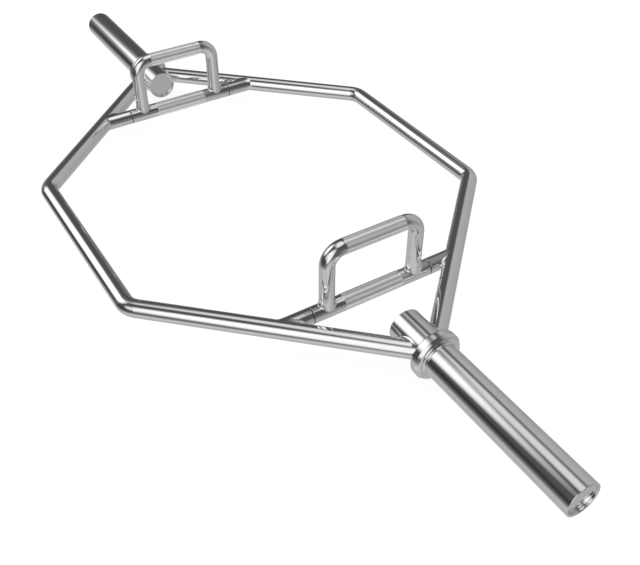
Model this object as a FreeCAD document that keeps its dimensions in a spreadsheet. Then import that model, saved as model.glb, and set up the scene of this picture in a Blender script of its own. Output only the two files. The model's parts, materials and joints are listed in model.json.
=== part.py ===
import FreeCAD, Part
import Sketcher
import os

# A hex trap bar: a six-sided ring to stand in, a loading sleeve at each end, and two handles
# that turn on axles inside the ring. +X runs along the sleeves, +Y to the rear, +Z up, and the
# origin lies on the floor under the middle of the ring, where the two collars touch down.

doc = FreeCAD.newDocument("HexTrapBar")
sheet = doc.addObject("Spreadsheet::Sheet", "Sizes")

# Driving sizes in millimetres. A reach is measured along X from the middle of the ring.
driving_sizes = [
    ("apex_reach", 452.3, "where the leg centre lines meet the sleeve axis"),
    ("corner_half_length", 164.8, "corner of the ring, along X"),
    ("corner_half_width", 299.0, "corner of the ring, along Y"),
    ("frame_bar_diameter", 26.3, "bent bar of the ring"),
    ("frame_bend_radius", 30.0, "centre line of the ring's bends"),
    ("sleeve_diameter", 50.0, "loading sleeve, which takes 2 inch plates"),
    ("sleeve_wall", 3.5, "wall of the sleeve tube"),
    ("sleeve_shoulder", 0.35, "step down from the sleeve to the collar's seat"),
    ("loadable_length", 250.0, "sleeve outside its collar"),
    ("tube_overhang", 20.35, "sleeve tube inside the ring, clear of the legs"),
    ("outer_rim_round", 0.8, "rounding of the sleeve's outer rim"),
    ("inner_rim_round", 0.8, "rounding of the sleeve tube's inner rim"),
    ("bore_edge_round", 1.3, "rounding of the tube's bore, at both ends"),
    ("collar_rise", 11.0, "height of the plate stop over the sleeve"),
    ("collar_width", 16.5, "plate stop, along X"),
    ("collar_gap", 2.15, "between the legs and the plate stop"),
    ("collar_back_round", 3.5, "rounding of the plate stop's inner edge"),
    ("collar_bevel_length", 5.1, "bevel on the plate stop's outer edge, along X"),
    ("collar_bevel_drop", 3.6, "bevel on the plate stop's outer edge, in from its crest"),
    ("collar_front_round", 3.8, "rounding between the bevel and the plate stop's face"),
    ("round_share", 0.7, "most of a wall that a rounding may take"),
    ("plug_thickness", 5.0, "disc that closes a tube end"),
    ("plug_recess", 3.9, "depth of the disc inside the rim"),
    ("grip_length", 193.5, "lower grip, end to end"),
    ("crossbar_diameter", 24.4, "lower grip and the stubs in line with it"),
    ("grip_wall", 3.0, "wall of the lower grip"),
    ("end_chamfer", 0.2, "edge at each end of the lower grip, and of a stub"),
    ("stub_short_side", 17.5, "stub's shorter side, from its face to the leg"),
    ("lower_knurl_rise", 0.3, "height of the knurl over the lower grip"),
    ("lower_knurl_lead", 0.6, "slope at each end of the lower knurl"),
    ("lower_knurl_gap", 12.9, "plain bar between the lower knurl and a post"),
    ("post_gap", 13.65, "plain bar between a post and the end of the grip"),
    ("raise_height", 98.0, "raised grip over the lower grip, centre to centre"),
    ("raised_bar_diameter", 22.2, "bent bar of the raised grip"),
    ("handle_bend_radius", 23.0, "centre line of the raised grip's bends"),
    ("raised_knurl_rise", 0.2, "height of the knurl over the raised grip"),
    ("raised_knurl_gap", 1.0, "plain bar between the raised knurl and a bend"),
    ("bush_wall", 2.15, "wall of a bush"),
    ("bush_length", 20.0, "bush, flange included"),
    ("flange_thickness", 1.2, "dark ring between a handle and its stub, along Y"),
    ("flange_inset", 0.6, "dark ring, in from the surface of the grip"),
    ("running_clearance", 0.05, "between axle and bush, all round"),
    ("end_clearance", 0.3, "between a bush flange and its stub"),
    ("axle_end_cover", 1.0, "steel between an axle's end and the leg"),
    ("axle_chamfer", 0.8, "edge at each end of an axle"),
]
for row, (alias, value, note) in enumerate(driving_sizes, start=1):
    sheet.set("A%d" % row, alias)
    sheet.set("B%d" % row, str(value))
    sheet.set("C%d" % row, note)
    sheet.setAlias("B%d" % row, alias)
doc.recompute()

# Ring: a leg leaves the sleeve axis at the apex and slopes back to its bend
frame_radius = "(Sizes.frame_bar_diameter / 2)"
leg_depth = "(Sizes.apex_reach - Sizes.corner_half_length)"
leg_angle = "atan(Sizes.corner_half_width / %s)" % leg_depth
leg_run = "hypot(Sizes.corner_half_width; %s)" % leg_depth
bend_tangent = "(Sizes.frame_bend_radius * tan(%s / 2))" % leg_angle

# Sleeves: the collar and the inner end of the tube keep clear of the legs' seats on the tube
sleeve_radius = "(Sizes.sleeve_diameter / 2)"
tube_radius = "(%s - Sizes.sleeve_shoulder)" % sleeve_radius
tube_bore = "(%s - Sizes.sleeve_wall)" % sleeve_radius
collar_radius = "(%s + Sizes.collar_rise)" % sleeve_radius
axis_height = collar_radius
seat_middle = "(Sizes.apex_reach - %s / tan(%s))" % (tube_radius, leg_angle)
seat_half = "(%s / sin(%s))" % (frame_radius, leg_angle)
tube_start = "(%s - %s - Sizes.tube_overhang)" % (seat_middle, seat_half)
collar_start = "(%s + %s + Sizes.collar_gap)" % (seat_middle, seat_half)
collar_face = "(%s + Sizes.collar_width)" % collar_start
tube_end = "(%s + Sizes.loadable_length)" % collar_face

# Crossbars: grip, bush and axle lie one inside the other, and the stubs fill up to the legs
crossbar_radius = "(Sizes.crossbar_diameter / 2)"
bush_seat = "(%s - Sizes.grip_wall)" % crossbar_radius
bush_bore = "(%s - Sizes.bush_wall)" % bush_seat
axle_radius = "(%s - Sizes.running_clearance)" % bush_bore
flange_radius = "(%s - Sizes.flange_inset)" % crossbar_radius
grip_half = "(Sizes.grip_length / 2)"
flange_face = "(%s + Sizes.flange_thickness)" % grip_half
stub_face = "(%s + Sizes.end_clearance)" % flange_face
leg_surface = "(%s / cos(%s))" % (frame_radius, leg_angle)
stub_slope = "(%s * tan(%s))" % (crossbar_radius, leg_angle)
axle_slope = "(%s * tan(%s))" % (axle_radius, leg_angle)
stub_length = "(Sizes.stub_short_side + %s + %s)" % (stub_slope, leg_surface)
axle_seat = "(Sizes.stub_short_side + %s - %s - Sizes.axle_end_cover)" % (stub_slope, axle_slope)
axle_half = "(%s + %s)" % (stub_face, axle_seat)
handle_reach = "(Sizes.apex_reach - (%s + %s) / tan(%s))" % (stub_face, stub_length, leg_angle)

# Raised grips: the posts stand on the plain ends of the lower grip
raised_radius = "(Sizes.raised_bar_diameter / 2)"
raised_knurl_radius = "(%s + Sizes.raised_knurl_rise)" % raised_radius
post_reach = "(%s - Sizes.post_gap - %s)" % (grip_half, raised_radius)
post_height = "(Sizes.raise_height - Sizes.handle_bend_radius)"
top_half = "(%s - Sizes.handle_bend_radius)" % post_reach
raised_knurl_half = "(%s - Sizes.raised_knurl_gap)" % top_half
lower_knurl_radius = "(%s + Sizes.lower_knurl_rise)" % crossbar_radius
lower_knurl_half = "(%s - %s - Sizes.lower_knurl_gap)" % (post_reach, raised_radius)


def amount(expression):
    return float(sheet.evalExpression(expression))


def place(piece, x, y, z, yaw="0", pitch="0", roll="0"):
    base = "vector(%s; %s; %s)" % (x, y, z)
    turn = "rotation(%s; %s; %s)" % (yaw, pitch, roll)
    piece.setExpression("Placement", "placement(%s; %s)" % (base, turn))


def cylinder(name, radius, height):
    piece = doc.addObject("Part::Cylinder", name)
    piece.setExpression("Radius", radius)
    piece.setExpression("Height", height)
    return piece


def bend(name, bend_radius, bar_radius, sweep):
    piece = doc.addObject("Part::Torus", name)
    piece.setExpression("Radius1", bend_radius)
    piece.setExpression("Radius2", bar_radius)
    piece.setExpression("Angle3", sweep)
    return piece


def fuse(name, pieces):
    joined = doc.addObject("Part::MultiFuse", name)
    joined.Shapes = pieces
    joined.Refine = True
    return joined


def cut(name, base, tool):
    piece = doc.addObject("Part::Cut", name)
    piece.Base = base
    piece.Tool = tool
    return piece


def turned_body(label, outline):
    # Turns a half section about the body's own X axis. Each corner of the outline is a pair of
    # expressions, (along the axis, out from the axis), and every corner is held by both.
    body = doc.addObject("PartDesign::Body", label)
    sketch = body.newObject("Sketcher::SketchObject", label + "_outline")
    planes = [plane for plane in body.Origin.OriginFeatures if plane.Role == "XY_Plane"]
    sketch.AttachmentSupport = [(planes[0], "")]
    sketch.MapMode = "FlatFace"
    corners = [FreeCAD.Vector(amount(along), amount(outward), 0) for along, outward in outline]
    count = len(corners)
    for number in range(count):
        sketch.addGeometry(Part.LineSegment(corners[number], corners[(number + 1) % count]))
    for number in range(count):
        sketch.addConstraint(Sketcher.Constraint("Coincident", number, 2, (number + 1) % count, 1))
    for number, (along, outward) in enumerate(outline):
        hold_corner(sketch, number, "DistanceX", "along_%d" % number, along, -2)
        hold_corner(sketch, number, "DistanceY", "outward_%d" % number, outward, -1)
    turned = body.newObject("PartDesign::Revolution", label + "_turned")
    turned.Profile = sketch
    turned.ReferenceAxis = (sketch, ["H_Axis"])
    turned.Angle = 360
    doc.recompute()
    return body


def hold_corner(sketch, number, kind, name, expression, zero_axis):
    if expression == "0":
        sketch.addConstraint(Sketcher.Constraint("PointOnObject", number, 1, zero_axis))
        return
    held = Sketcher.Constraint(kind, -1, 1, number, 1, amount(expression))
    index = sketch.addConstraint(held)
    sketch.renameConstraint(index, name)
    sketch.setExpression("Constraints." + name, expression)


def round_rim(body, label, along, rim_radius, rounding):
    # Rounds the circular edge of one radius that lies at one place along the body's X axis
    base = body.Tip
    names = []
    for number, edge in enumerate(base.Shape.Edges, start=1):
        if not isinstance(edge.Curve, Part.Circle):
            continue
        if abs(edge.Curve.Radius - amount(rim_radius)) > tolerance:
            continue
        if abs(edge.Curve.Center.x - amount(along)) > tolerance:
            continue
        names.append("Edge%d" % number)
    fillet = body.newObject("PartDesign::Fillet", label)
    fillet.Base = (base, names)
    fillet.setExpression("Radius", rounding)
    doc.recompute()


tolerance = 1e-6
subparts = []

# The two bent bars of the ring. Each is side, two bends and two legs, and the legs are cut to
# sit on the sleeve tubes.
sleeve_seat_left = cylinder("sleeve_seat_left", tube_radius, tube_end)
place(sleeve_seat_left, "0", "0", axis_height, pitch="-90")
sleeve_seat_right = cylinder("sleeve_seat_right", tube_radius, tube_end)
place(sleeve_seat_right, "0", "0", axis_height, pitch="90")
sleeve_seats = fuse("sleeve_seats", [sleeve_seat_left, sleeve_seat_right])
leg_tools = {}
for depth, depth_sign in (("front", "-1"), ("rear", "1")):
    side_y = "%s * Sizes.corner_half_width" % depth_sign
    bend_y = "%s * (Sizes.corner_half_width - Sizes.frame_bend_radius)" % depth_sign
    side = cylinder(depth + "_side", frame_radius, "2 * (Sizes.corner_half_length - %s)" % bend_tangent)
    place(side, "%s - Sizes.corner_half_length" % bend_tangent, side_y, axis_height, pitch="90")
    runs = [side]
    for end, end_sign in (("left", "-1"), ("right", "1")):
        leg = cylinder("%s_%s_leg" % (depth, end), frame_radius, "%s - %s" % (leg_run, bend_tangent))
        apex_x = "%s * Sizes.apex_reach" % end_sign
        # A leg runs from the sleeve axis back to its bend
        back = "180 deg - %s" % leg_angle if end_sign == "1" else leg_angle
        yaw = "%s * (%s)" % (depth_sign, back)
        place(leg, apex_x, "0", axis_height, yaw=yaw, pitch="90")
        corner = bend("%s_%s_bend" % (depth, end), "Sizes.frame_bend_radius", frame_radius, leg_angle)
        corner_x = "%s * (Sizes.corner_half_length - %s)" % (end_sign, bend_tangent)
        # The bend starts square to the side, or ends there where it turns the other way
        square = "%s * 90 deg" % depth_sign
        first = square if end_sign != depth_sign else "%s - %s" % (square, leg_angle)
        place(corner, corner_x, bend_y, axis_height, yaw=first)
        runs += [leg, corner]
        leg_tools[depth, end] = leg
    whole = fuse(depth + "_bar_uncut", runs)
    subparts.append(cut(depth + "_frame_bar", whole, sleeve_seats))

# Sleeve tube, collar and the two discs in the tube's ends, measured from the tube's inner end
tube_length = "(%s - %s)" % (tube_end, tube_start)
shoulder = "(%s - %s)" % (collar_face, tube_start)
inner_wall = "(Sizes.sleeve_wall - Sizes.sleeve_shoulder)"
# A rim's own rounding takes what the rounding of the bore may leave of the wall
rim_share = "(1 - Sizes.round_share)"
outer_rounding = "min(Sizes.outer_rim_round; %s * Sizes.sleeve_wall)" % rim_share
inner_rounding = "min(Sizes.inner_rim_round; %s * %s)" % (rim_share, inner_wall)
bore_limits = "Sizes.round_share * %s; Sizes.plug_recess" % inner_wall
bore_rounding = "min(Sizes.bore_edge_round; %s)" % bore_limits
bevel_start = "(Sizes.collar_width - Sizes.collar_bevel_length)"
bevel_radius = "(%s - Sizes.collar_bevel_drop)" % collar_radius
bevel_slope = "hypot(Sizes.collar_bevel_length; Sizes.collar_bevel_drop)"
face_height = "(Sizes.collar_rise - Sizes.collar_bevel_drop)"
back_limits = "Sizes.round_share * %s; Sizes.round_share * Sizes.collar_rise" % bevel_start
back_rounding = "min(Sizes.collar_back_round; %s)" % back_limits
front_limits = "Sizes.round_share * %s; Sizes.round_share * %s" % (bevel_slope, face_height)
front_rounding = "min(Sizes.collar_front_round; %s)" % front_limits
for end, end_sign, yaw in (("left", "-1", "180"), ("right", "1", "0")):
    tube = turned_body(end + "_sleeve_tube", [
        ("0", tube_bore),
        ("0", tube_radius),
        (shoulder, tube_radius),
        (shoulder, sleeve_radius),
        (tube_length, sleeve_radius),
        (tube_length, tube_bore),
    ])
    round_rim(tube, end + "_outer_rim", tube_length, sleeve_radius, outer_rounding)
    round_rim(tube, end + "_inner_rim", "0", tube_radius, inner_rounding)
    round_rim(tube, end + "_outer_bore", tube_length, tube_bore, bore_rounding)
    round_rim(tube, end + "_inner_bore", "0", tube_bore, bore_rounding)
    place(tube, "%s * %s" % (end_sign, tube_start), "0", axis_height, yaw=yaw)
    collar = turned_body(end + "_sleeve_collar", [
        ("0", tube_radius),
        ("0", collar_radius),
        (bevel_start, collar_radius),
        ("Sizes.collar_width", bevel_radius),
        ("Sizes.collar_width", tube_radius),
    ])
    round_rim(collar, end + "_collar_back", "0", collar_radius, back_rounding)
    round_rim(collar, end + "_collar_front", "Sizes.collar_width", bevel_radius, front_rounding)
    place(collar, "%s * %s" % (end_sign, collar_start), "0", axis_height, yaw=yaw)
    subparts += [tube, collar]
    inner_x = "%s * (%s + Sizes.plug_recess)" % (end_sign, tube_start)
    outer_x = "%s * (%s - Sizes.plug_recess - Sizes.plug_thickness)" % (end_sign, tube_end)
    for depth, plug_x in (("inner", inner_x), ("outer", outer_x)):
        plug = turned_body("%s_%s_plug" % (end, depth), [
            ("0", "0"),
            ("0", tube_bore),
            ("Sizes.plug_thickness", tube_bore),
            ("Sizes.plug_thickness", "0"),
        ])
        place(plug, plug_x, "0", axis_height, yaw=yaw)
        subparts.append(plug)

# What a handle turns on: an axle held at both ends in stubs that are cut to sit on the legs
axle_length = "(2 * %s)" % axle_half
for end, end_sign in (("left", "-1"), ("right", "1")):
    handle_x = "%s * %s" % (end_sign, handle_reach)
    axle = turned_body(end + "_axle", [
        ("0", "0"),
        ("0", "%s - Sizes.axle_chamfer" % axle_radius),
        ("Sizes.axle_chamfer", axle_radius),
        ("%s - Sizes.axle_chamfer" % axle_length, axle_radius),
        (axle_length, "%s - Sizes.axle_chamfer" % axle_radius),
        (axle_length, "0"),
    ])
    place(axle, handle_x, "-1 * %s" % axle_half, axis_height, yaw="90")
    subparts.append(axle)
    for depth, depth_sign, yaw in (("front", "-1", "-90"), ("rear", "1", "90")):
        label = "%s_%s_stub" % (end, depth)
        blank = turned_body(label + "_blank", [
            ("0", axle_radius),
            ("0", "%s - Sizes.end_chamfer" % crossbar_radius),
            ("Sizes.end_chamfer", crossbar_radius),
            (stub_length, crossbar_radius),
            (stub_length, "0"),
            (axle_seat, "0"),
            (axle_seat, axle_radius),
        ])
        place(blank, handle_x, "%s * %s" % (depth_sign, stub_face), axis_height, yaw=yaw)
        subparts.append(cut(label, blank, leg_tools[depth, end]))

# Handles: a lower grip on two bushes, and a raised grip bent from one bar whose posts are cut
# to sit on the lower grip
knurl_start = "(%s - %s)" % (grip_half, lower_knurl_half)
knurl_end = "(%s + %s)" % (grip_half, lower_knurl_half)
for end, end_sign in (("left", "-1"), ("right", "1")):
    handle_x = "%s * %s" % (end_sign, handle_reach)
    grip = turned_body(end + "_lower_grip", [
        ("0", bush_seat),
        ("0", "%s - Sizes.end_chamfer" % crossbar_radius),
        ("Sizes.end_chamfer", crossbar_radius),
        (knurl_start, crossbar_radius),
        ("%s + Sizes.lower_knurl_lead" % knurl_start, lower_knurl_radius),
        ("%s - Sizes.lower_knurl_lead" % knurl_end, lower_knurl_radius),
        (knurl_end, crossbar_radius),
        ("Sizes.grip_length - Sizes.end_chamfer", crossbar_radius),
        ("Sizes.grip_length", "%s - Sizes.end_chamfer" % crossbar_radius),
        ("Sizes.grip_length", bush_seat),
    ])
    place(grip, handle_x, "-1 * %s" % grip_half, axis_height, yaw="90")
    subparts.append(grip)
    for depth, depth_sign, yaw in (("front", "-1", "90"), ("rear", "1", "-90")):
        bush = turned_body("%s_%s_bush" % (end, depth), [
            ("0", bush_bore),
            ("0", flange_radius),
            ("Sizes.flange_thickness", flange_radius),
            ("Sizes.flange_thickness", bush_seat),
            ("Sizes.bush_length", bush_seat),
            ("Sizes.bush_length", bush_bore),
        ])
        place(bush, handle_x, "%s * %s" % (depth_sign, flange_face), axis_height, yaw=yaw)
        subparts.append(bush)
    runs = []
    # The quarter bends lie in the YZ plane, from a post up to the top
    for depth, depth_sign, yaw in (("front", "-1", "-90"), ("rear", "1", "90")):
        post = cylinder("%s_%s_post" % (end, depth), raised_radius, post_height)
        place(post, handle_x, "%s * %s" % (depth_sign, post_reach), axis_height)
        turn = bend("%s_%s_turn" % (end, depth), "Sizes.handle_bend_radius", raised_radius, "90")
        turn_z = "%s + %s" % (axis_height, post_height)
        place(turn, handle_x, "%s * %s" % (depth_sign, top_half), turn_z, yaw=yaw, roll="90")
        runs += [post, turn]
    top_z = "%s + Sizes.raise_height" % axis_height
    top = cylinder(end + "_top", raised_radius, "2 * %s" % top_half)
    place(top, handle_x, "-1 * %s" % top_half, top_z, yaw="90", pitch="90")
    knurl = cylinder(end + "_raised_knurl", raised_knurl_radius, "2 * %s" % raised_knurl_half)
    place(knurl, handle_x, "-1 * %s" % raised_knurl_half, top_z, yaw="90", pitch="90")
    whole = fuse(end + "_raised_uncut", runs + [top, knurl])
    seat = cylinder(end + "_grip_seat", crossbar_radius, "Sizes.grip_length")
    place(seat, handle_x, "-1 * %s" % grip_half, axis_height, yaw="90", pitch="90")
    subparts.append(cut(end + "_raised_grip", whole, seat))

# Every object has to have come out whole before anything is written
doc.recompute()
for item in doc.Objects:
    if "Invalid" in item.State or "Error" in item.State:
        raise RuntimeError("%s did not build: %s" % (item.Label, item.State))
os.makedirs("parts", exist_ok=True)
for piece in subparts:
    shape = piece.Shape
    if shape.isNull() or not shape.isValid():
        raise RuntimeError("%s has no valid shape" % piece.Label)
    if len(shape.Solids) != 1:
        raise RuntimeError("%s came out as %d solids" % (piece.Label, len(shape.Solids)))
for piece in subparts:
    piece.Shape.exportStep("parts/%s.step" % piece.Label)
    print("%-20s %9.0f mm3" % (piece.Label, piece.Shape.Volume))
print("handle axes at x = +-%.3f, z = %.3f mm" % (amount(handle_reach), amount(axis_height)))
print("sleeves from x = +-%.3f to +-%.3f mm" % (amount(collar_face), amount(tube_end)))
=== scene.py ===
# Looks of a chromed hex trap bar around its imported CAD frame: metres, +Z up, the bar's length along X
import json
import math

import bpy
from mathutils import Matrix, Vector


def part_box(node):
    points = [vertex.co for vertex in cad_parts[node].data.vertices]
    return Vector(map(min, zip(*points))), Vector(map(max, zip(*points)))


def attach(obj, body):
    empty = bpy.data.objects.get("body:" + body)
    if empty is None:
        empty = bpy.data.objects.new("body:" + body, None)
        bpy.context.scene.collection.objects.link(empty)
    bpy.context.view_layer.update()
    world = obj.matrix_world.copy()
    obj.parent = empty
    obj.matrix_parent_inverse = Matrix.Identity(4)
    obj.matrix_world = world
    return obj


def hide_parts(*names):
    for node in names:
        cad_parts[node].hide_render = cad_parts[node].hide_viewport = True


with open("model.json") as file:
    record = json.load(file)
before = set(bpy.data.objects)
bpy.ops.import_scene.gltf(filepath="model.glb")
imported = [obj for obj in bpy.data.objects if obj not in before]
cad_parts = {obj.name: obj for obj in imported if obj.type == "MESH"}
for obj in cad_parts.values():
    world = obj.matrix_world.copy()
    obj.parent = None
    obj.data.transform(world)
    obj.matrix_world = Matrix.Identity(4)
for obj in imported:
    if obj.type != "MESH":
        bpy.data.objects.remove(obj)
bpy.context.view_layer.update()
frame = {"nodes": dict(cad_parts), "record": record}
nodes = frame["nodes"]
print("frame loaded with", len(nodes), "nodes")


# Camera at the photograph's viewing angle

photoCamera = {
    "place": (1.0182, -0.5304, 0.8116),
    "turn": (49.1895, -0.2138, 57.8688),    # degrees about X, Y and Z
    "focalLength": 47.584,                  # millimetres on the sensor width below
    "sensorWidth": 36.0,
}


def addCamera(values):
    bpy.ops.object.camera_add(
        location=values["place"],
        rotation=[math.radians(angle) for angle in values["turn"]],
    )
    camera = bpy.context.object
    camera.name = "photo_camera"
    camera.data.sensor_fit = "HORIZONTAL"
    camera.data.sensor_width = values["sensorWidth"]
    camera.data.lens = values["focalLength"]
    bpy.context.scene.camera = camera


addCamera(photoCamera)
print("camera placed")


# Node helpers for the studio and the finishes

def greyColor(level):
    return (level, level, level, 1.0)


def addNode(tree, kind, **settings):
    node = tree.nodes.new(kind)
    for name, value in settings.items():
        setattr(node, name, value)
    return node


def feed(tree, socket, value):
    # links another node's output to the socket, or sets a plain value on it
    if isinstance(value, bpy.types.NodeSocket):
        tree.links.new(value, socket)
    else:
        socket.default_value = value


def addMath(tree, operation, first, second):
    node = addNode(tree, "ShaderNodeMath", operation=operation)
    feed(tree, node.inputs[0], first)
    feed(tree, node.inputs[1], second)
    return node.outputs["Value"]


def addMix(tree, factor, first, second, kind="FLOAT"):
    node = addNode(tree, "ShaderNodeMix", data_type=kind)
    for name, value in (("Factor", factor), ("A", first), ("B", second)):
        feed(tree, node.inputs[name], value)
    return node.outputs["Result"]


def addMapRange(tree, source, fromRange, toRange=(0.0, 1.0), fade="LINEAR"):
    node = addNode(tree, "ShaderNodeMapRange", interpolation_type=fade)
    for socket, value in zip(node.inputs[1:5], (*fromRange, *toRange)):
        socket.default_value = value
    tree.links.new(source, node.inputs["Value"])
    return node.outputs["Result"]


def addNoise(tree, place, scale, detail, swirl=0.0):
    node = addNode(tree, "ShaderNodeTexNoise")
    for name, value in (("Scale", scale), ("Detail", detail), ("Distortion", swirl)):
        node.inputs[name].default_value = value
    tree.links.new(place, node.inputs["Vector"])
    return node.outputs["Fac"]


def addStretch(tree, place, scale):
    node = addNode(tree, "ShaderNodeMapping")
    node.inputs["Scale"].default_value = scale
    tree.links.new(place, node.inputs["Vector"])
    return node.outputs["Vector"]


def addBump(tree, height, depth):
    node = addNode(tree, "ShaderNodeBump")
    node.inputs["Strength"].default_value = 1.0
    node.inputs["Distance"].default_value = depth
    tree.links.new(height, node.inputs["Height"])
    return node.outputs["Normal"]


def addGrey(tree, tone):
    node = addNode(tree, "ShaderNodeCombineColor")
    for channel in ("Red", "Green", "Blue"):
        tree.links.new(tone, node.inputs[channel])
    return node.outputs["Color"]


# Studio: a dark room with a white floor, a pale wall, soft lights, dark flags and grey cards, all far away

studio = {
    "darkRoom": 0.167,
    # azimuth from +X, elevation, half angles of the full and of the faded disc (degrees), brightness;
    # each disc lies over the ones before it
    "softDiscs": {
        "darkFlag": (-129, -66, 56, 81, 0.02),
        "whiteFloor": (61, -77, 24, 106, 0.90),
        "frontFloor": (-83, -59, 5, 41, 1.24),
        "rightFloor": (-18, -41, 16, 37, 1.13),
        "paleWall": (91, 18, 16, 55, 0.84),
        "ceilingRear": (115, 81, 0, 18, 3.94),
        "ceilingRight": (22, 78, 0, 25, 1.73),
        "ceilingLeft": (170, 69, 0, 24, 1.47),
        "leftSoftbox": (-148, 32, 0, 31, 2.98),
        "frontSoftbox": (-51, 32, 0, 35, 2.01),
        "lowSoftbox": (-48, 16, 0, 16, 3.46),
        "sideSoftbox": (-64, 31, 0, 16, 3.74),
        "lowFill": (-44, 13, 0, 28, 2.01),
        "leftFlag": (-178, 18, 8, 20, 0.20),
        "leftLowFlag": (-162, 5, 0, 19, 0.19),
        "leftHighFlag": (-176, 51, 0, 14, 0.33),
        "cornerFlag": (-130, -2, 6, 10, 0.28),
        "leftFloor": (-173, -63, 32, 53, 0.98),
        "leftCard": (-171, -2, 3, 20, 0.61),
        "sideFill": (-81, 28, 1, 22, 1.54),
        "rightFlag": (10, 3, 2, 26, 0.24),
        "rearCard": (119, 33, 2, 19, 0.89),
    },
    "backdrop": 1.0,                        # plain white that the camera sees behind the object
    "floorSize": 60.0,
    "floorGlow": 0.88,                      # white of the floor that shade can't darken
    "floorPaint": 0.20,                     # share of white that the object's shadow darkens
}


def directionOf(azimuth, elevation):
    around = math.radians(azimuth)
    above = math.radians(elevation)
    return (math.cos(above) * math.cos(around), math.cos(above) * math.sin(around), math.sin(above))


def addStudioWorld(values):
    world = bpy.data.worlds.new("studio")
    world.use_nodes = True
    tree = world.node_tree
    tree.nodes.clear()
    direction = addNode(tree, "ShaderNodeTexCoord").outputs["Generated"]
    brightness = values["darkRoom"]
    for name, (azimuth, elevation, full, faded, level) in values["softDiscs"].items():
        towards = addNode(tree, "ShaderNodeVectorMath", operation="DOT_PRODUCT", label=name)
        towards.inputs[1].default_value = directionOf(azimuth, elevation)
        tree.links.new(direction, towards.inputs[0])
        edges = [math.cos(math.radians(angle)) for angle in (faded, full)]
        disc = addMapRange(tree, towards.outputs["Value"], edges, fade="SMOOTHSTEP")
        brightness = addMix(tree, disc, brightness, level)
    ray = addNode(tree, "ShaderNodeLightPath")
    seen = addMix(tree, ray.outputs["Is Camera Ray"], brightness, values["backdrop"])
    background = addNode(tree, "ShaderNodeBackground")
    background.inputs["Color"].default_value = greyColor(1.0)
    tree.links.new(seen, background.inputs["Strength"])
    output = addNode(tree, "ShaderNodeOutputWorld")
    tree.links.new(background.outputs["Background"], output.inputs["Surface"])
    bpy.context.scene.world = world


def addFloor(values):
    bpy.ops.mesh.primitive_plane_add(size=values["floorSize"])
    floor = bpy.context.object
    floor.name = "studio_floor"
    material = bpy.data.materials.new("white_floor")
    material.use_nodes = True
    tree = material.node_tree
    tree.nodes.clear()
    ray = addNode(tree, "ShaderNodeLightPath")
    glowLevel = addMath(tree, "MULTIPLY", ray.outputs["Is Camera Ray"], values["floorGlow"])
    glow = addNode(tree, "ShaderNodeEmission")
    tree.links.new(glowLevel, glow.inputs["Strength"])
    paint = addNode(tree, "ShaderNodeBsdfDiffuse")
    paint.inputs["Color"].default_value = greyColor(values["floorPaint"])
    both = addNode(tree, "ShaderNodeAddShader")
    tree.links.new(glow.outputs["Emission"], both.inputs[0])
    tree.links.new(paint.outputs["BSDF"], both.inputs[1])
    output = addNode(tree, "ShaderNodeOutputMaterial")
    tree.links.new(both.outputs["Shader"], output.inputs["Surface"])
    floor.data.materials.append(material)
    floor.visible_glossy = False            # metal sees the studio's own white floor below instead


bpy.context.scene.view_settings.view_transform = "Standard"
addStudioWorld(studio)
addFloor(studio)
print("studio lit")


# Finishes: one polish group shared by every chromed piece, and its own values in each material

polish = {
    "smudgeScale": 14.0,            # cloudy wipe marks, per metre
    "smudgeDetail": 4.0,
    "smudgeSwirl": 0.6,
    "smudgeRange": (0.48, 0.72),    # where in the noise a mark fades in
    "smudgeDarkening": 0.035,
    "smudgeHaze": 0.05,
    "lineDetail": 2.0,              # polishing lines, stretched by each finish
    "lineRange": (0.35, 0.75),
    "lineHaze": 0.03,
    "lineHeight": 0.6,
    "grainScale": 1500.0,           # fine grain of the plating
    "grainDetail": 2.0,
    "grainHeight": 0.4,
    "pitScale": 420.0,              # tiny pits and dust
    "pitRange": (0.04, 0.12),       # where from a pit's middle it fades out
    "pitDarkening": 0.08,
    "pitHaze": 0.1,
    "pitDepth": 0.5,
    "blueShare": 0.99,              # blue against red and green
}
polishSockets = {
    "INPUT": {
        "Place": "Vector",
        "Lines Place": "Vector",
        "Tone": "Float",
        "Haze": "Float",
        "Smudge": "Float",
    },
    "OUTPUT": {"Color": "Color", "Roughness": "Float", "Height": "Float"},
}


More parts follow.
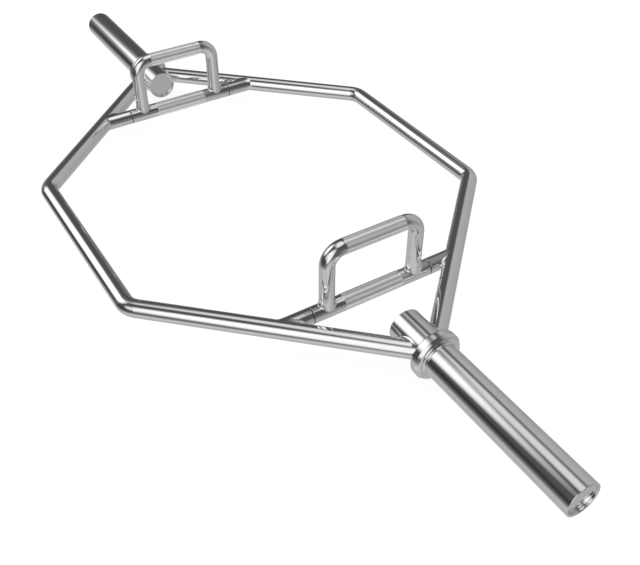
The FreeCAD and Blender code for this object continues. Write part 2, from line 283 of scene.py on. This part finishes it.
def buildPolishGroup(values):
    group = bpy.data.node_groups.new("chrome_polish", "ShaderNodeTree")
    for way, sockets in polishSockets.items():
        for name, kind in sockets.items():
            group.interface.new_socket(name, in_out=way, socket_type="NodeSocket" + kind)
    given = addNode(group, "NodeGroupInput").outputs
    made = addNode(group, "NodeGroupOutput").inputs

    def times(first, second):
        return addMath(group, "MULTIPLY", first, second)

    clouds = addNoise(
        group, given["Place"], values["smudgeScale"], values["smudgeDetail"], values["smudgeSwirl"])
    smudge = times(addMapRange(group, clouds, values["smudgeRange"]), given["Smudge"])
    lines = addNoise(group, given["Lines Place"], 1.0, values["lineDetail"])
    grain = addNoise(group, given["Place"], values["grainScale"], values["grainDetail"])
    pits = addNode(group, "ShaderNodeTexVoronoi")
    pits.inputs["Scale"].default_value = values["pitScale"]
    group.links.new(given["Place"], pits.inputs["Vector"])
    pitted = addMapRange(group, pits.outputs["Distance"], values["pitRange"], (1.0, 0.0))

    shade = addMath(group, "SUBTRACT", 1.0, times(smudge, values["smudgeDarkening"]))
    shade = addMath(group, "SUBTRACT", shade, times(pitted, values["pitDarkening"]))
    tone = times(given["Tone"], shade)
    color = addNode(group, "ShaderNodeCombineColor")
    group.links.new(tone, color.inputs["Red"])
    group.links.new(tone, color.inputs["Green"])
    group.links.new(times(tone, values["blueShare"]), color.inputs["Blue"])
    group.links.new(color.outputs["Color"], made["Color"])

    lined = addMapRange(group, lines, values["lineRange"], (0.0, values["lineHaze"]))
    haze = addMath(group, "ADD", given["Haze"], times(smudge, values["smudgeHaze"]))
    haze = addMath(group, "ADD", haze, lined)
    haze = addMath(group, "ADD", haze, times(pitted, values["pitHaze"]))
    group.links.new(haze, made["Roughness"])

    height = addMath(group, "ADD", times(lines, values["lineHeight"]), times(grain, values["grainHeight"]))
    height = addMath(group, "SUBTRACT", height, times(pitted, values["pitDepth"]))
    group.links.new(height, made["Height"])
    return group


polishGroup = buildPolishGroup(polish)


def newMaterial(name):
    material = bpy.data.materials.new(name)
    material.use_nodes = True
    tree = material.node_tree
    return material, tree, tree.nodes["Principled BSDF"]


knurlFinishAndPaintedBands = {"tones": (0.48, 0.86), "roughness": 0.45}    # tones of the painted dark and light bands, lighter than the plain chrome, and the knurl's real roughness


def addKnurlPaintedBands(tree, color, rough, values):
    # the mesh attribute holds the knurled zone in red and its lengthwise painted light and dark bands in
    # green
    marked = addNode(tree, "ShaderNodeAttribute", attribute_name="knurl")
    parts = addNode(tree, "ShaderNodeSeparateColor")
    tree.links.new(marked.outputs["Color"], parts.inputs["Color"])
    zone = parts.outputs["Red"]
    # painted light and dark bands: tones lighter than the plain chrome that stand in for the knurl's
    # reflections
    paintedBandColor = addGrey(tree, addMapRange(tree, parts.outputs["Green"], (0.0, 1.0), values["tones"]))
    return addMix(tree, zone, color, paintedBandColor, "RGBA"), addMix(tree, zone, rough, values["roughness"])


chromePlate = {
    "edgeTint": 0.75,               # tone of a glancing reflection
    "paintedReflectionTone": 0.9,            # chrome painted lighter where it shows in other chrome: a painted reflection
}
# tone, haze, smudges, stretch of the polishing lines along X, Y and Z, and depth of the surface grain
chromeFinishes = {
    "frame_chrome": (0.45, 0.03, 1.0, (240, 240, 240), 0.0000025),
    "sleeve_chrome": (0.45, 0.03, 1.0, (900, 25, 25), 0.0000025),
    "plug_chrome": (0.45, 0.04, 0.6, (400, 400, 400), 0.0000040),
    "grip_chrome": (0.45, 0.04, 0.8, (25, 900, 25), 0.0000025),
    "weld_chrome": (0.45, 0.04, 0.5, (300, 300, 300), 0.0000040),
}


def chromeMaterial(name, tone, haze, smudge, stretch, depth):
    material, tree, shader = newMaterial(name)
    shader.inputs["Metallic"].default_value = 1.0
    shader.inputs["Specular Tint"].default_value = greyColor(chromePlate["edgeTint"])
    place = addNode(tree, "ShaderNodeTexCoord").outputs["Object"]
    finish = addNode(tree, "ShaderNodeGroup", node_tree=polishGroup)
    finish.inputs["Tone"].default_value = tone
    finish.inputs["Haze"].default_value = haze
    finish.inputs["Smudge"].default_value = smudge
    tree.links.new(place, finish.inputs["Place"])
    tree.links.new(addStretch(tree, place, stretch), finish.inputs["Lines Place"])
    color = finish.outputs["Color"]
    rough = finish.outputs["Roughness"]
    # the grips' knurled zone gets painted light and dark bands over its chrome
    if name == "grip_chrome":
        color, rough = addKnurlPaintedBands(tree, color, rough, knurlFinishAndPaintedBands)
    # glossy rays see the chrome in a lighter tone: a painted reflection that brightens chrome seen in other
    # chrome
    ray = addNode(tree, "ShaderNodeLightPath")
    paintedReflection = greyColor(chromePlate["paintedReflectionTone"])
    paintedReflectionColor = addMix(tree, ray.outputs["Is Glossy Ray"], color, paintedReflection, "RGBA")
    tree.links.new(paintedReflectionColor, shader.inputs["Base Color"])
    tree.links.new(rough, shader.inputs["Roughness"])
    tree.links.new(addBump(tree, finish.outputs["Height"], depth), shader.inputs["Normal"])
    return material


bushPlastic = {
    "dark": (0.012, 0.012, 0.012, 1),
    "worn": (0.035, 0.035, 0.034, 1),
    "speckleScale": 700.0,
    "speckleDetail": 3.0,
    "wornRange": (0.5, 0.75),       # where in the noise the plastic is worn
    "roughRange": (0.3, 0.7),
    "roughness": (0.4, 0.6),
    "grainDepth": 0.00003,
}


def bushMaterial(values):
    material, tree, shader = newMaterial("bush_black")
    place = addNode(tree, "ShaderNodeTexCoord").outputs["Object"]
    speckle = addNoise(tree, place, values["speckleScale"], values["speckleDetail"])
    worn = addMapRange(tree, speckle, values["wornRange"])
    color = addMix(tree, worn, values["dark"], values["worn"], "RGBA")
    rough = addMapRange(tree, speckle, values["roughRange"], values["roughness"])
    tree.links.new(color, shader.inputs["Base Color"])
    tree.links.new(rough, shader.inputs["Roughness"])
    tree.links.new(addBump(tree, speckle, values["grainDepth"]), shader.inputs["Normal"])
    return material


axleSteel = {
    "drawLines": (1200, 30, 1200),  # stretched along the rod
    "lineDetail": 4.0,
    "lineRange": (0.3, 0.7),
    "tones": (0.36, 0.46),
    "roughness": (0.22, 0.38),
}


def axleMaterial(values):
    material, tree, shader = newMaterial("axle_steel")
    shader.inputs["Metallic"].default_value = 1.0
    place = addNode(tree, "ShaderNodeTexCoord").outputs["Object"]
    lines = addNoise(tree, addStretch(tree, place, values["drawLines"]), 1.0, values["lineDetail"])
    tone = addMapRange(tree, lines, values["lineRange"], values["tones"])
    rough = addMapRange(tree, lines, values["lineRange"], values["roughness"])
    tree.links.new(addGrey(tree, tone), shader.inputs["Base Color"])
    tree.links.new(rough, shader.inputs["Roughness"])
    return material


materials = {name: chromeMaterial(name, *values) for name, values in chromeFinishes.items()}
materials["bush_black"] = bushMaterial(bushPlastic)
materials["axle_steel"] = axleMaterial(axleSteel)
for subpart in frame["record"]["subparts"]:
    node = nodes[subpart["node"]]
    node.data.materials.clear()
    node.data.materials.append(materials[subpart["material_slot"]])
print("finishes made:", ", ".join(materials))


# Modelling helpers: rings that are extruded in edit mode, and selections made by place

axisVectors = {"X": Vector((1, 0, 0)), "Y": Vector((0, 1, 0)), "Z": Vector((0, 0, 1))}
axisTurns = {"X": (0, math.pi / 2, 0), "Y": (math.pi / 2, 0, 0)}
otherEnd = (-1, 1, 1)           # scale that flips a right piece to the left
mergeReach = 0.000001
surfaceReach = 0.00002          # a point this near to a bar's radius lies on the bar


def addRing(name, middle, turn, radius, sides):
    bpy.ops.object.select_all(action="DESELECT")
    bpy.ops.mesh.primitive_circle_add(
        vertices=sides, radius=radius, fill_type="NOTHING", location=middle, rotation=turn)
    piece = bpy.context.object
    piece.name = name
    piece.data.name = name
    bpy.ops.object.transform_apply(location=True, rotation=True, scale=True)
    bpy.ops.object.mode_set(mode="EDIT")
    bpy.ops.mesh.select_mode(type="VERT")
    bpy.ops.mesh.select_all(action="SELECT")
    return piece


def addTurned(name, origin, axis, profile, sides):
    # carries a ring along a profile of (along the axis, out from the axis)
    direction = axisVectors[axis]
    along, radius = profile[0]
    piece = addRing(name, origin + direction * along, axisTurns[axis], radius, sides)
    for nextAlong, nextRadius in profile[1:]:
        growth = nextRadius / radius
        bpy.ops.mesh.extrude_region_move(TRANSFORM_OT_translate={"value": direction * (nextAlong - along)})
        bpy.ops.transform.resize(
            value=[1.0 if part else growth for part in direction],
            center_override=origin + direction * nextAlong)
        along, radius = nextAlong, nextRadius
    return piece


def selectByPlace(piece, wanted):
    # leaves edit mode and comes back with only the wanted vertices selected
    bpy.ops.object.mode_set(mode="EDIT")
    bpy.ops.mesh.select_mode(type="VERT")
    bpy.ops.mesh.select_all(action="DESELECT")
    bpy.ops.object.mode_set(mode="OBJECT")
    for vertex in piece.data.vertices:
        vertex.select = wanted(vertex.co)
    bpy.ops.object.mode_set(mode="EDIT")
    bpy.ops.mesh.select_mode(type="VERT")


def moveSelected(piece, newPlace):
    bpy.ops.object.mode_set(mode="OBJECT")
    for vertex in piece.data.vertices:
        if vertex.select:
            vertex.co = newPlace(vertex.co)
    bpy.ops.object.mode_set(mode="EDIT")


def closeLoops():
    # joins the two open ends of a chain of rings into one closed ring
    bpy.ops.mesh.select_all(action="DESELECT")
    bpy.ops.mesh.select_mode(type="EDGE")
    bpy.ops.mesh.select_non_manifold()
    bpy.ops.mesh.bridge_edge_loops()
    bpy.ops.mesh.select_mode(type="VERT")


def closePiece(sharpAngle):
    bpy.ops.mesh.select_all(action="SELECT")
    bpy.ops.mesh.remove_doubles(threshold=mergeReach)
    bpy.ops.mesh.normals_make_consistent(inside=False)
    bpy.ops.object.mode_set(mode="OBJECT")
    bpy.ops.object.shade_smooth_by_angle(angle=math.radians(sharpAngle))


def copyPiece(source, name, flip):
    # a copy with its own mesh, flipped to the other end or side of the bar
    bpy.ops.object.select_all(action="DESELECT")
    source.select_set(True)
    bpy.context.view_layer.objects.active = source
    bpy.ops.object.duplicate(linked=False)
    piece = bpy.context.object
    piece.name = name
    piece.data.name = name
    piece.scale = flip
    bpy.ops.object.transform_apply(location=True, rotation=True, scale=True)
    bpy.ops.object.mode_set(mode="EDIT")
    bpy.ops.mesh.select_all(action="SELECT")
    bpy.ops.mesh.normals_make_consistent(inside=False)
    bpy.ops.object.mode_set(mode="OBJECT")
    return piece


def finishPiece(piece, body, slot, material, *replaced):
    piece.data.materials.clear()
    piece.data.materials.append(materials[material])
    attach(piece, body)
    if replaced:
        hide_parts(*replaced)


# Welds: smooth hollow rings between a round bar and the round seat that it stands on

def outwardFrom(bar, place):
    away = place - bar["foot"]
    return (away - bar["direction"] * away.dot(bar["direction"])).normalized()


def onSurface(bar, place):
    along = (place - bar["foot"]).dot(bar["direction"])
    return bar["foot"] + bar["direction"] * along + outwardFrom(bar, place) * bar["radius"]


def cornerPlace(bar, seat, outward):
    # where a straight line along the bar's surface comes out of the seat
    edge = bar["foot"] + outward * bar["radius"]
    offset = edge - seat["foot"]
    across = offset - seat["direction"] * offset.dot(seat["direction"])
    slide = bar["direction"] - seat["direction"] * bar["direction"].dot(seat["direction"])
    halfSum = across.dot(slide) / slide.dot(slide)
    rest = (across.dot(across) - seat["radius"] ** 2) / slide.dot(slide)
    return edge + bar["direction"] * (math.sqrt(max(halfSum ** 2 - rest, 0.0)) - halfSum)


def weldPlace(bar, seat, outward, share, barReach, seatReach):
    # share 0 lies on the bar, 1 on the seat, with a hollow curve between them
    corner = cornerPlace(bar, seat, outward)
    onBar = corner + bar["direction"] * barReach
    onSeat = onSurface(seat, corner + outward * seatReach)
    return onBar * (1 - share) ** 2 + corner * (2 * share * (1 - share)) + onSeat * share ** 2


def buildWeld(name, bar, seat, values):
    turn = bar["direction"].to_track_quat("Z", "Y").to_euler()
    piece = addRing(name, bar["foot"], turn, bar["radius"], values["sides"])
    for step in range(values["steps"] + 1):
        if step:
            bpy.ops.mesh.extrude_region_move()
        share = step / values["steps"]
        moveSelected(piece, lambda place: weldPlace(
            bar, seat, outwardFrom(bar, place), share, values["barReach"], values["seatReach"]))
    bpy.ops.mesh.extrude_region_move()
    moveSelected(piece, lambda place: cornerPlace(bar, seat, outwardFrom(bar, place))
                 - outwardFrom(bar, place) * values["sunk"])
    closeLoops()
    closePiece(values["sharpAngle"])
    return piece


# the legs' centre lines and the tube that they are welded to, as in the CAD model
ring = {"apexReach": 0.4523, "cornerHalfLength": 0.1648, "tubeRadius": 0.02465}
# a weld reaches up its bar and out over its seat, and its hidden root is sunk into the bar
legWeld = {"sides": 96, "steps": 8, "barReach": 0.004, "seatReach": 0.004, "sunk": 0.002, "sharpAngle": 40}
stubWeld = {"sides": 96, "steps": 10, "barReach": 0.009, "seatReach": 0.007, "sunk": 0.002, "sharpAngle": 40}

barLow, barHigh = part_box("rear_frame_bar")
frameBarRadius = (barHigh.z - barLow.z) / 2
sleeveAxis = Vector((0, 0, (barHigh.z + barLow.z) / 2))
cornerHalfWidth = barHigh.y - frameBarRadius
gripLow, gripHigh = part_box("right_lower_grip")
gripMiddle = (gripLow + gripHigh) / 2
stubLow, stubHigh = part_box("right_rear_stub")
rearLeg = {
    "foot": Vector((ring["apexReach"], 0, sleeveAxis.z)),
    "direction": Vector((ring["cornerHalfLength"] - ring["apexReach"], cornerHalfWidth, 0)).normalized(),
    "radius": frameBarRadius,
}
innerTube = {"foot": sleeveAxis, "direction": axisVectors["X"], "radius": ring["tubeRadius"]}
rearStub = {"foot": gripMiddle, "direction": -axisVectors["Y"], "radius": (stubHigh.x - stubLow.x) / 2}
weldedJoints = {"leg": (rearLeg, innerTube, legWeld), "stub": (rearStub, rearLeg, stubWeld)}
cornerFlips = {"right_front": (1, -1, 1), "left_rear": otherEnd, "left_front": (-1, -1, 1)}
for joint, (bar, seat, values) in weldedJoints.items():
    first = buildWeld("right_rear_%s_weld" % joint, bar, seat, values)
    finishPiece(first, "frame", "frame_chrome", "weld_chrome")
    for corner, flip in cornerFlips.items():
        other = copyPiece(first, "%s_%s_weld" % (corner, joint), flip)
        finishPiece(other, "frame", "frame_chrome", "weld_chrome")
print("leg and stub welds made")


# Turned welds: a hollow ring at each root of a collar, and round each disc in a tube's inner end

turnedWeld = {
    "sides": 160,
    "steps": 8,
    "sunk": 0.0003,
    "sharpAngle": 40,
    # size of each hollow ring along X, and out from its seat
    "sizes": {
        "collar_front": (0.0026, 0.0026),
        "collar_back": (0.0010, 0.0010),
        "inner_plug": (0.0016, 0.0016),
    },
}


def buildTurnedWeld(root, face, side, seatRadius, rise, values):
    # side is the way that the face looks along X, and rise is +1 over a bar or -1 inside a bore
    length, height = values["sizes"][root]
    profile = []
    for step in range(values["steps"] + 1):
        turn = math.pi / 2 * step / values["steps"]
        along = face + side * length * (1 - math.cos(turn))
        profile.append((along, seatRadius + rise * height * (1 - math.sin(turn))))
    profile.append((face - side * values["sunk"], seatRadius - rise * values["sunk"]))
    piece = addTurned("right_%s_weld" % root, sleeveAxis, "X", profile, values["sides"])
    closeLoops()
    closePiece(values["sharpAngle"])
    return piece


collarLow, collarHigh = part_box("right_sleeve_collar")
sleeveLow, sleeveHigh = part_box("right_sleeve_tube")
innerLow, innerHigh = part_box("right_inner_plug")
turnedPlaces = {
    "collar_front": (collarHigh.x, 1, (sleeveHigh.z - sleeveLow.z) / 2, 1),
    "collar_back": (collarLow.x, -1, ring["tubeRadius"], 1),
    "inner_plug": (innerLow.x, -1, (innerHigh.z - innerLow.z) / 2, -1),
}
for root, place in turnedPlaces.items():
    slot = "plug_chrome" if "plug" in root else "sleeve_chrome"
    first = buildTurnedWeld(root, *place, turnedWeld)
    finishPiece(first, "frame", slot, "weld_chrome")
    finishPiece(copyPiece(first, "left_%s_weld" % root, otherEnd), "frame", slot, "weld_chrome")
print("collar and disc welds made")


# Discs in the outer ends of the sleeves: a low dome in a shallow dish

outerDisc = {
    "sides": 160,
    "dishSteps": 14,
    "dishDepth": 0.00054,
    "dishWidth": 0.0099,
    "domeSteps": 10,
    "domeRise": 0.0008,
    "sharpAngle": 40,
}


def buildOuterDisc(values):
    low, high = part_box("right_outer_plug")
    rim = (high.z - low.z) / 2
    dishEdge = rim - values["dishWidth"]
    profile = [(low.x, rim)]
    for step in range(values["dishSteps"] + 1):
        turn = math.pi / 2 * step / values["dishSteps"]
        along = high.x + values["dishDepth"] * (1 - math.sin(turn))
        profile.append((along, dishEdge + values["dishWidth"] * math.cos(turn)))
    for step in range(1, values["domeSteps"] + 1):
        share = 1 - step / values["domeSteps"]
        profile.append((high.x + values["domeRise"] * (1 - share ** 2), dishEdge * share))
    piece = addTurned("right_outer_disc", sleeveAxis, "X", profile, values["sides"])
    selectByPlace(piece, lambda place: abs(place.x - low.x) < mergeReach)    # the back is closed too
    bpy.ops.mesh.extrude_region_move()
    bpy.ops.mesh.merge(type="CENTER")
    closePiece(values["sharpAngle"])
    return piece


rightDisc = buildOuterDisc(outerDisc)
leftDisc = copyPiece(rightDisc, "left_outer_disc", otherEnd)
finishPiece(rightDisc, "frame", "plug_chrome", "plug_chrome", "right_outer_plug")
finishPiece(leftDisc, "frame", "plug_chrome", "plug_chrome", "left_outer_plug")
print("outer discs dished")


# Knurl of the grips: diamonds in the mesh, and lengthwise painted light and dark bands in a colour attribute

def knurl(piece, origin, crestRadius, values):
    # cuts a grip's long faces into rows along Y, then lifts every other point of a row and sinks the rest
    half = values["knurlHalf"]
    rings = values["knurlRings"]
    pitch = 2 * half / rings
    baseRadius = values["barRadius"]
    valleyRadius = crestRadius - values["knurlDepth"]

    def outOf(place):
        return math.hypot(place.x - origin.x, place.z - origin.z)

    def onBar(place):
        return abs(outOf(place) - baseRadius) < surfaceReach and abs(place.y - origin.y) < half + mergeReach

    bpy.ops.mesh.select_mode(type="EDGE")
    bpy.ops.mesh.select_all(action="DESELECT")
    bpy.ops.object.mode_set(mode="OBJECT")
    for edge in piece.data.edges:
        low, high = (piece.data.vertices[index].co for index in edge.vertices)
        edge.select = onBar(low) and onBar(high) and abs(high.y - low.y) > half
    bpy.ops.object.mode_set(mode="EDIT")
    # subdivide stops at 100 cuts, so 148 rings come out as 101 rows, and the rows mostly come
    # in pairs of equal height, which makes the diamonds longer than wide
    bpy.ops.mesh.subdivide(number_cuts=rings - 1)
    for parity, radius in ((0, crestRadius), (1, valleyRadius)):
        def chosen(place):
            along = place.y - origin.y
            if not onBar(place) or abs(along) > half - pitch / 2:
                return False
            around = math.atan2(place.x - origin.x, place.z - origin.z)
            count = round((along + half) / pitch) + round(around * values["sides"] / (2 * math.pi))
            return count % 2 == parity
        selectByPlace(piece, chosen)
        growth = radius / baseRadius
        bpy.ops.transform.resize(value=(growth, 1, growth), center_override=origin)
    selectByPlace(piece, lambda place: abs(place.y - origin.y) < half - pitch / 2
                  and abs(outOf(place) - baseRadius) < 2 * (crestRadius - baseRadius))
    bpy.ops.mesh.quads_convert_to_tris(quad_method="SHORTEST_DIAGONAL")


def markKnurlAndPaintedBands(piece, origin, phase, values):
    # red holds the knurled zone, and green its painted light and dark bands
    mark = piece.data.attributes.new("knurl", "FLOAT_COLOR", "POINT")
    bar = values["barRadius"]
    reach = values["knurlHalf"] - values["knurlHalf"] / values["knurlRings"]
    for vertex, shade in zip(piece.data.vertices, mark.data):
        away = vertex.co - origin
        around = math.atan2(away.x, away.z) - math.radians(phase)
        # painted light and dark bands round the bar, turned by the phase
        paintedBand = 0.5 - 0.5 * math.cos(values["paintedBands"] * around)
        knurled = abs(away.y) < reach and bar < math.hypot(away.x, away.z) < 2 * bar
        shade.color = (1.0 if knurled else 0.0, paintedBand, 0.0, 1.0)


def finishGrips(rightPiece, grip, middle, values):
    # the right grip, and its copy on the left handle
    leftPiece = copyPiece(rightPiece, "left_knurled_" + grip, otherEnd)
    leftMiddle = middle * Vector(otherEnd)
    for side, piece, origin in (("right", rightPiece, middle), ("left", leftPiece, leftMiddle)):
        markKnurlAndPaintedBands(piece, origin, values["phases"][side], values)
        finishPiece(piece, side + "_handle", "grip_chrome", "grip_chrome", "%s_%s" % (side, grip))


# Lower grips: a tube with chamfered ends and a knurled middle

lowerGrip = {
    "sides": 120,
    "boreRadius": 0.0092,
    "barRadius": 0.0122,
    "endChamfer": 0.0002,
    "knurlHalf": 0.048,
    "knurlRings": 148,          # asked for, and knurl says what the mesh gets
    "knurlDepth": 0.00014,
    "paintedBands": 11,                # lengthwise painted light and dark bands round the bar
    "phases": {"right": 1.5, "left": 8},    # degrees that the painted bands are turned
    "sharpAngle": 20,
}


def buildLowerGrip(values):
    half = (gripHigh.y - gripLow.y) / 2
    bore = values["boreRadius"]
    bar = values["barRadius"]
    chamfer = values["endChamfer"]
    knurled = values["knurlHalf"]
    profile = [
        (-half, bore), (-half, bar - chamfer), (chamfer - half, bar), (-knurled, bar),
        (knurled, bar), (half - chamfer, bar), (half, bar - chamfer), (half, bore),
    ]
    piece = addTurned("right_knurled_lower_grip", gripMiddle, "Y", profile, values["sides"])
    closeLoops()
    knurl(piece, gripMiddle, (gripHigh.x - gripLow.x) / 2, values)
    closePiece(values["sharpAngle"])
    return piece


lowerPiece = buildLowerGrip(lowerGrip)
finishGrips(lowerPiece, "lower_grip", gripMiddle, lowerGrip)
print("lower grips knurled:", len(lowerPiece.data.polygons), "faces each")


# Raised grips: one bent bar with a knurled top, whose posts flare smoothly into the lower grip

raisedGrip = {
    "sides": 108,
    "barRadius": 0.0111,
    "bendRadius": 0.023,
    "bendSteps": 18,
    "knurlHalf": 0.048,
    "knurlRings": 148,          # asked for, and knurl says what the mesh gets
    "knurlDepth": 0.00014,
    "paintedBands": 11,                # lengthwise painted light and dark bands round the bar
    "phases": {"right": 3.5, "left": 8},    # degrees that the painted bands are turned
    "flareSteps": 10,
    "flareHeight": 0.009,
    "flareReach": 0.003,
    "sunkRadius": 0.0107,       # the closed foot of a post, inside the wall of the lower grip
    "footShares": (0.8, 0.4),
    "sharpAngle": 20,
}
raisedLow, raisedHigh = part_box("right_raised_grip")
raisedCrest = (raisedHigh.x - raisedLow.x) / 2
raisedMiddle = Vector((gripMiddle.x, 0, raisedHigh.z - raisedCrest))


def footPlace(post, place, share, sunkRadius):
    away = (place - post["foot"]) * share
    return post["foot"] + Vector((away.x, away.y, math.sqrt(sunkRadius ** 2 - away.x ** 2)))


def addPost(piece, side, postReach, values):
    # goes on from the selected end of the bend, down to a closed foot in the lower grip
    post = {
        "foot": gripMiddle + axisVectors["Y"] * side * postReach,
        "direction": axisVectors["Z"],
        "radius": values["barRadius"],
    }
    seat = {"foot": gripMiddle, "direction": axisVectors["Y"], "radius": lowerGrip["barRadius"]}
    for step in range(values["flareSteps"] + 1):
        bpy.ops.mesh.extrude_region_move()
        share = step / values["flareSteps"]
        moveSelected(piece, lambda place: weldPlace(
            post, seat, outwardFrom(post, place), share, values["flareHeight"], values["flareReach"]))
    for share in values["footShares"]:
        bpy.ops.mesh.extrude_region_move()
        moveSelected(piece, lambda place: footPlace(post, place, share, values["sunkRadius"]))
    bpy.ops.mesh.merge(type="CENTER")


def buildRaisedGrip(values):
    bar = values["barRadius"]
    knurled = values["knurlHalf"]
    postReach = raisedHigh.y - bar
    topHalf = postReach - values["bendRadius"]
    profile = [(-topHalf, bar), (-knurled, bar), (knurled, bar), (topHalf, bar)]
    piece = addTurned("right_knurled_raised_grip", raisedMiddle, "Y", profile, values["sides"])
    for side in (1, -1):
        selectByPlace(piece, lambda place: abs(place.y - side * topHalf) < mergeReach)
        bpy.ops.mesh.spin(
            steps=values["bendSteps"], angle=side * math.pi / 2, axis=axisVectors["X"],
            center=raisedMiddle + Vector((0, side * topHalf, -values["bendRadius"])))
        addPost(piece, side, postReach, values)
    knurl(piece, raisedMiddle, raisedCrest, values)
    closePiece(values["sharpAngle"])
    return piece


raisedPiece = buildRaisedGrip(raisedGrip)
finishGrips(raisedPiece, "raised_grip", raisedMiddle, raisedGrip)
print("raised grips knurled:", len(raisedPiece.data.polygons), "faces each")
